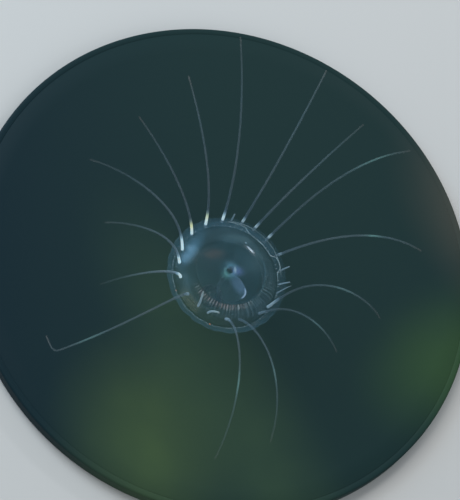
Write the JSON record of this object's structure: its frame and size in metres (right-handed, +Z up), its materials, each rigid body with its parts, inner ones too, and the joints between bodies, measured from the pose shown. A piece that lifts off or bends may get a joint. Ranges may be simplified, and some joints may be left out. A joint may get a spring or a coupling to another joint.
{
  "type": "small narcomedusa jellyfish on a display stand",
  "caption": "Life-size still model of a small glassy jellyfish: flat clear bell with lappets, round stomach and stiff arching tentacles, held over a dark round base by one slim rod.",
  "frame": {"origin": "middle of the underside of the stand's base, where it rests", "axes": "+Z up, along the bell's axis and away from its mouth; -Y towards the side it is looked at from"},
  "size_m": [0.172, 0.172, 0.0769],
  "materials": {
    "umbrella_jelly": "clear, wet, slightly blue jelly",
    "lappet_jelly": "clear, wet, slightly blue jelly",
    "velum_film": "thin clear film",
    "stomach_wall": "dark blue-grey translucent tissue",
    "gonads": "reddish brown pleated tissue, moist",
    "mouth_lip": "pale violet translucent tissue",
    "tentacle": "bluish white, translucent, moist",
    "stand_base": "satin, very dark blue-green",
    "stand_rod": "clear acrylic, polished"
  },
  "bodies": {
    "root": {"gonad_ring": "gonads", "lappet_ring": "lappet_jelly", "mouth_lip": "mouth_lip", "stand_base": "stand_base", "stand_rod": "stand_rod", "stomach": "stomach_wall", "tentacle_01_inner": "tentacle", "tentacle_01_outer": "tentacle", "tentacle_02_inner": "tentacle", "tentacle_02_middle": "tentacle", "tentacle_02_outer": "tentacle", "tentacle_03_inner": "tentacle", "tentacle_03_outer": "tentacle", "tentacle_04_inner": "tentacle", "tentacle_04_middle": "tentacle", "tentacle_04_outer": "tentacle", "tentacle_05_inner": "tentacle", "tentacle_05_middle": "tentacle", "tentacle_05_outer": "tentacle", "tentacle_06_inner": "tentacle", "tentacle_06_middle": "tentacle", "tentacle_06_outer": "tentacle", "tentacle_07_inner": "tentacle", "tentacle_07_middle": "tentacle", "tentacle_07_outer": "tentacle", "tentacle_08_inner": "tentacle", "tentacle_08_middle": "tentacle", "tentacle_08_outer": "tentacle", "tentacle_09_inner": "tentacle", "tentacle_09_outer": "tentacle", "tentacle_10_inner": "tentacle", "tentacle_10_middle": "tentacle", "tentacle_10_outer": "tentacle", "tentacle_11_inner": "tentacle", "tentacle_11_outer": "tentacle", "tentacle_12_inner": "tentacle", "tentacle_12_middle": "tentacle", "tentacle_12_outer": "tentacle", "tentacle_13_inner": "tentacle", "tentacle_13_middle": "tentacle", "tentacle_13_outer": "tentacle", "tentacle_14_inner": "tentacle", "tentacle_14_middle": "tentacle", "tentacle_14_outer": "tentacle", "tentacle_15_inner": "tentacle", "tentacle_15_outer": "tentacle", "umbrella_disc": "umbrella_jelly", "velum": "velum_film", "young_tentacle_01": "tentacle", "young_tentacle_02": "tentacle", "young_tentacle_03": "tentacle", "young_tentacle_04": "tentacle", "young_tentacle_05": "tentacle", "young_tentacle_06": "tentacle"}
  },
  "joints": []
}
